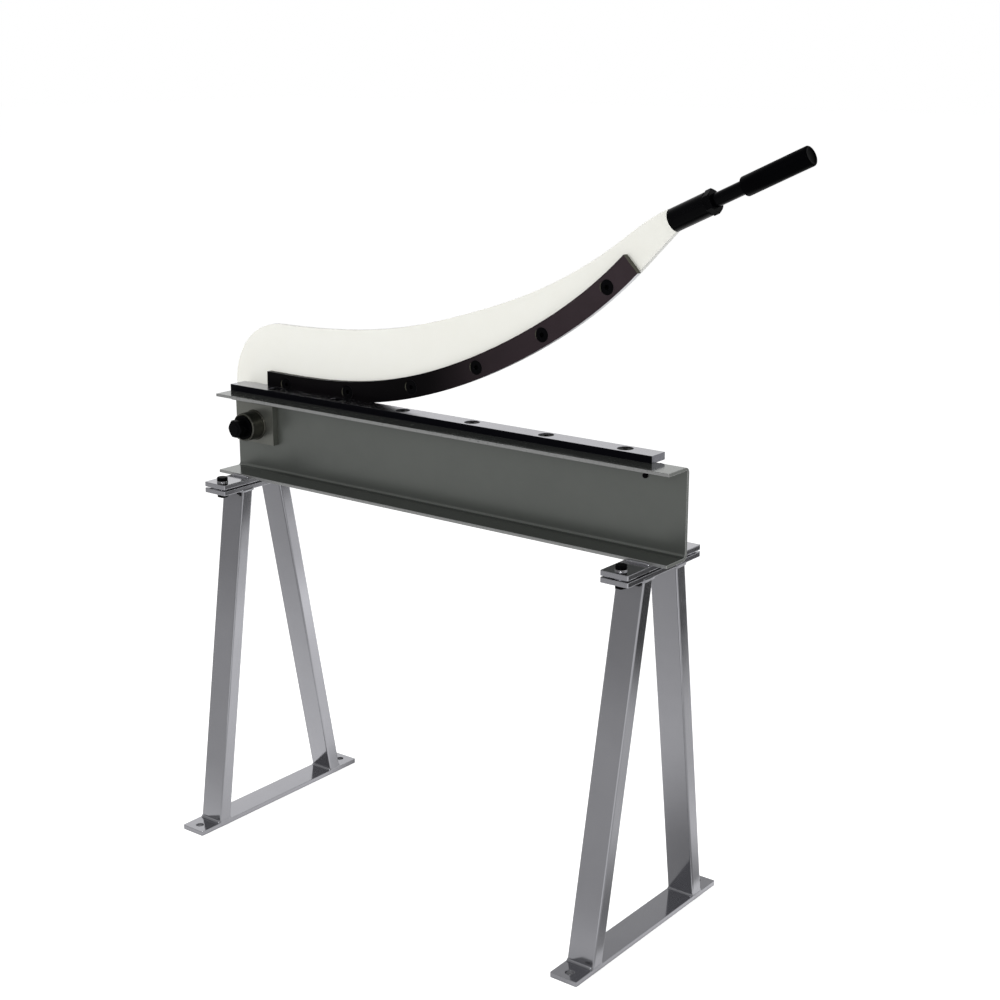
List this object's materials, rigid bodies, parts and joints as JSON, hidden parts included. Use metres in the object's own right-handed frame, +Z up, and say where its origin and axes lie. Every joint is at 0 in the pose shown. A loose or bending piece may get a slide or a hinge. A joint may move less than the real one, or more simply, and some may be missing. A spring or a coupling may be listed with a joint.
{
  "type": "guillotine shear",
  "caption": "Hand guillotine shear for sheet metal: curved blade arm hinged at one end of a channel beam with a straight lower blade, on A-frame stands with bolt-down feet.",
  "frame": {"origin": "on the floor, centre of the rectangle of floor bolt holes", "axes": "+X along the beam from the pivot end to the handle end, +Y away from the operator, +Z up"},
  "size_m": [1.1591, 0.41, 1.2534],
  "materials": {
    "arm_paint": "cream gloss paint",
    "beam_paint": "dark grey gloss paint",
    "stand_paint": "silver grey metallic paint",
    "blade_steel": "ground steel, blackened sides",
    "black_steel": "blackened steel",
    "black_fastener": "black oxide",
    "zinc_washer": "zinc plated",
    "handle_paint": "black gloss paint",
    "grip": "black gloss plastic",
    "rubber": "rubber",
    "bronze": "bronze"
  },
  "bodies": {
    "frame": {"beam_channel": "beam_paint", "pivot_pad": "beam_paint", "pivot_boss": "beam_paint", "pivot_bush": "bronze", "seat_bar_near": "beam_paint", "seat_bar_far": "beam_paint", "lower_blade": "blade_steel", "lower_blade_screws": "black_fastener", "stop_bolt": "black_fastener", "stop_nut": "black_fastener", "stop_spacer": "beam_paint", "stop_ring": "rubber", "left_mounting_plate": "stand_paint", "right_mounting_plate": "stand_paint", "left_stand_top_plate": "stand_paint", "right_stand_top_plate": "stand_paint", "left_front_leg": "stand_paint", "left_rear_leg": "stand_paint", "right_front_leg": "stand_paint", "right_rear_leg": "stand_paint", "left_foot_bar": "stand_paint", "right_foot_bar": "stand_paint", "stand_bolts": "black_fastener", "stand_bolt_washers": "zinc_washer", "stand_spacers": "zinc_washer", "stand_nuts": "black_fastener"},
    "arm": {"arm_plate": "arm_paint", "arm_hub": "arm_paint", "upper_blade": "black_steel", "upper_blade_screws": "black_fastener", "upper_blade_nuts": "black_fastener", "pivot_bolt": "black_fastener", "pivot_head_washer": "zinc_washer", "pivot_thrust_washer": "black_fastener", "pivot_nut": "black_fastener", "pivot_lock_nut": "black_fastener", "handle_socket": "handle_paint", "handle_lock_nut": "black_fastener", "handle_rod": "handle_paint", "handle_grip": "grip"}
  },
  "joints": [
    {"name": "arm_pivot", "type": "hinge", "parent": "frame", "child": "arm", "pos_m": [-0.4275, 0, 0.723], "axis": [0, 1, 0], "range_deg": [-30, 19]}
  ]
}
